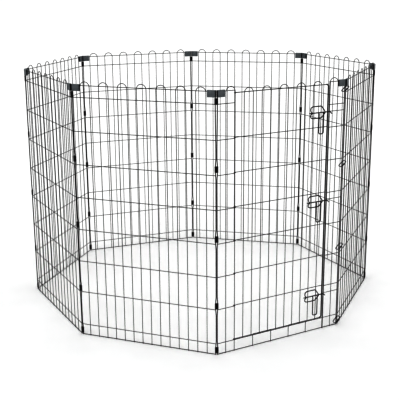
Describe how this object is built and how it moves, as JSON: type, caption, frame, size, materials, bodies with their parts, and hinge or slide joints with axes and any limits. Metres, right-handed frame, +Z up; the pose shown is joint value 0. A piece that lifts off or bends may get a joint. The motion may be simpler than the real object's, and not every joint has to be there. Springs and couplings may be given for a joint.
{
  "type": "pet playpen",
  "caption": "Folding ring of hinged wire panels with arched tops, a wire door in one panel held by sliding latches, plastic corner caps and snap links that join the ends.",
  "frame": {"origin": "middle of the bounding box on the ground", "axes": "+Z up, -Y out through the door panel, +X along the door panel from its hinge side to its latch side"},
  "size_m": [1.5124, 1.5058, 1.0824],
  "materials": {
    "wire": "satin black electro-coat",
    "corner_cap": "moulded dark grey plastic",
    "snap_link": "dark plated steel"
  },
  "bodies": {
    "door_panel": {"door_panel_left_strip": "wire", "door_panel_right_strip": "wire", "door_panel_sill": "wire", "corner_cap_1a": "corner_cap", "corner_cap_8b": "corner_cap", "snap_link_1": "snap_link", "snap_link_2": "snap_link", "snap_link_3": "snap_link", "snap_link_4": "snap_link"},
    "post_1": {"hinge_sleeve_1_1": "wire", "hinge_sleeve_1_2": "wire"},
    "panel_2": {"wire_panel_2": "wire", "corner_cap_1b": "corner_cap", "corner_cap_2a": "corner_cap"},
    "post_2": {"hinge_sleeve_2_1": "wire", "hinge_sleeve_2_2": "wire"},
    "panel_3": {"wire_panel_3": "wire", "corner_cap_2b": "corner_cap", "corner_cap_3a": "corner_cap"},
    "post_3": {"hinge_sleeve_3_1": "wire", "hinge_sleeve_3_2": "wire"},
    "panel_4": {"wire_panel_4": "wire", "corner_cap_3b": "corner_cap", "corner_cap_4a": "corner_cap"},
    "post_4": {"hinge_sleeve_4_1": "wire", "hinge_sleeve_4_2": "wire"},
    "panel_5": {"wire_panel_5": "wire", "corner_cap_4b": "corner_cap", "corner_cap_5a": "corner_cap"},
    "post_5": {"hinge_sleeve_5_1": "wire", "hinge_sleeve_5_2": "wire"},
    "panel_6": {"wire_panel_6": "wire", "corner_cap_5b": "corner_cap", "corner_cap_6a": "corner_cap"},
    "post_6": {"hinge_sleeve_6_1": "wire", "hinge_sleeve_6_2": "wire"},
    "panel_7": {"wire_panel_7": "wire", "corner_cap_6b": "corner_cap", "corner_cap_7a": "corner_cap"},
    "post_7": {"hinge_sleeve_7_1": "wire", "hinge_sleeve_7_2": "wire"},
    "panel_8": {"wire_panel_8": "wire", "corner_cap_7b": "corner_cap", "corner_cap_8a": "corner_cap"},
    "door": {"door": "wire", "latch_bracket_1": "wire", "latch_bracket_2": "wire", "latch_bracket_3": "wire"},
    "latch_1": {"latch_bolt_1": "wire"},
    "latch_2": {"latch_bolt_2": "wire"},
    "latch_3": {"latch_bolt_3": "wire"},
    "snap_ring_1": {"snap_ring_1": "snap_link"},
    "snap_ring_2": {"snap_ring_2": "snap_link"},
    "snap_ring_3": {"snap_ring_3": "snap_link"},
    "snap_ring_4": {"snap_ring_4": "snap_link"}
  },
  "joints": [
    {"name": "fold", "type": "hinge", "parent": "door_panel", "child": "panel_2", "pos_m": [-0.35881, -0.73639, 0], "axis": [0, 0, -1], "range_deg": [0, 126.15]},
    {"name": "clip_turn_1", "type": "hinge", "parent": "door_panel", "child": "post_1", "pos_m": [-0.35629, -0.74021, 0], "axis": [0, 0, -1], "range_deg": [0, 63.09]},
    {"name": "fold_2", "type": "hinge", "parent": "panel_2", "child": "panel_3", "pos_m": [-0.75655, -0.27488, 0], "axis": [0, 0, 1], "range_deg": [0, 214.38]},
    {"name": "clip_turn_2", "type": "hinge", "parent": "panel_2", "child": "post_2", "pos_m": [-0.75006, -0.27685, 0], "axis": [0, 0, 1], "range_deg": [0, 107.2]},
    {"name": "fold_3", "type": "hinge", "parent": "panel_3", "child": "panel_4", "pos_m": [-0.73898, 0.33425, 0], "axis": [0, 0, -1], "range_deg": [0, 129.75]},
    {"name": "clip_turn_3", "type": "hinge", "parent": "panel_3", "child": "post_3", "pos_m": [-0.74289, 0.33166, 0], "axis": [0, 0, -1], "range_deg": [0, 64.88]},
    {"name": "fold_4", "type": "hinge", "parent": "panel_4", "child": "panel_5", "pos_m": [-0.2967, 0.75388, 0], "axis": [0, 0, 1], "range_deg": [0, 224.09]},
    {"name": "clip_turn_4", "type": "hinge", "parent": "panel_4", "child": "post_4", "pos_m": [-0.29869, 0.74722, 0], "axis": [0, 0, 1], "range_deg": [0, 112.06]},
    {"name": "fold_5", "type": "hinge", "parent": "panel_5", "child": "panel_6", "pos_m": [0.30602, 0.65943, 0], "axis": [0, 0, -1], "range_deg": [0, 140.77]},
    {"name": "clip_turn_5", "type": "hinge", "parent": "panel_5", "child": "post_5", "pos_m": [0.30358, 0.66381, 0], "axis": [0, 0, -1], "range_deg": [0, 70.39]},
    {"name": "fold_6", "type": "hinge", "parent": "panel_6", "child": "panel_7", "pos_m": [0.75656, 0.24816, 0], "axis": [0, 0, 1], "range_deg": [0, 222.44]},
    {"name": "clip_turn_6", "type": "hinge", "parent": "panel_6", "child": "post_6", "pos_m": [0.7498, 0.24961, 0], "axis": [0, 0, 1], "range_deg": [0, 111.23]},
    {"name": "fold_7", "type": "hinge", "parent": "panel_7", "child": "panel_8", "pos_m": [0.72367, -0.36048, 0], "axis": [0, 0, -1], "range_deg": [0, 126.8]},
    {"name": "clip_turn_7", "type": "hinge", "parent": "panel_7", "child": "post_7", "pos_m": [0.72759, -0.35809, 0], "axis": [0, 0, -1], "range_deg": [0, 63.41]},
    {"name": "door_swing", "type": "hinge", "parent": "door_panel", "child": "door", "pos_m": [-0.27931, -0.74211, 0], "axis": [0, 0, -1], "range_deg": [-110, 0]},
    {"name": "latch_slide_1", "type": "slide", "parent": "door", "child": "latch_1", "axis": [-1, 0, 0], "range_m": [0, 0.02]},
    {"name": "latch_slide_2", "type": "slide", "parent": "door", "child": "latch_2", "axis": [-1, 0, 0], "range_m": [0, 0.02]},
    {"name": "latch_slide_3", "type": "slide", "parent": "door", "child": "latch_3", "axis": [-1, 0, 0], "range_m": [0, 0.02]},
    {"name": "snap_ring_slide_1", "type": "slide", "parent": "door_panel", "child": "snap_ring_1", "axis": [0.8491, 0.2948, 0.4384], "range_m": [0, 0.0115]},
    {"name": "snap_ring_slide_2", "type": "slide", "parent": "door_panel", "child": "snap_ring_2", "axis": [0.8491, 0.2948, 0.4384], "range_m": [0, 0.0115]},
    {"name": "snap_ring_slide_3", "type": "slide", "parent": "door_panel", "child": "snap_ring_3", "axis": [0.8491, 0.2948, 0.4384], "range_m": [0, 0.0115]},
    {"name": "snap_ring_slide_4", "type": "slide", "parent": "door_panel", "child": "snap_ring_4", "axis": [0.8491, 0.2948, 0.4384], "range_m": [0, 0.0115]}
  ],
  "couplings": [
    {"joint": "clip_turn_1", "follows": "fold", "ratio": 0.5},
    {"joint": "fold_2", "follows": "fold", "ratio": 1.6993},
    {"joint": "clip_turn_2", "follows": "fold", "ratio": 0.84964},
    {"joint": "fold_3", "follows": "fold", "ratio": 1.0284},
    {"joint": "clip_turn_3", "follows": "fold", "ratio": 0.51419},
    {"joint": "fold_4", "follows": "fold", "ratio": 1.7763},
    {"joint": "clip_turn_4", "follows": "fold", "ratio": 0.88813},
    {"joint": "fold_5", "follows": "fold", "ratio": 1.1157},
    {"joint": "clip_turn_5", "follows": "fold", "ratio": 0.55787},
    {"joint": "fold_6", "follows": "fold", "ratio": 1.7632},
    {"joint": "clip_turn_6", "follows": "fold", "ratio": 0.8816},
    {"joint": "fold_7", "follows": "fold", "ratio": 1.005},
    {"joint": "clip_turn_7", "follows": "fold", "ratio": 0.5025}
  ]
}
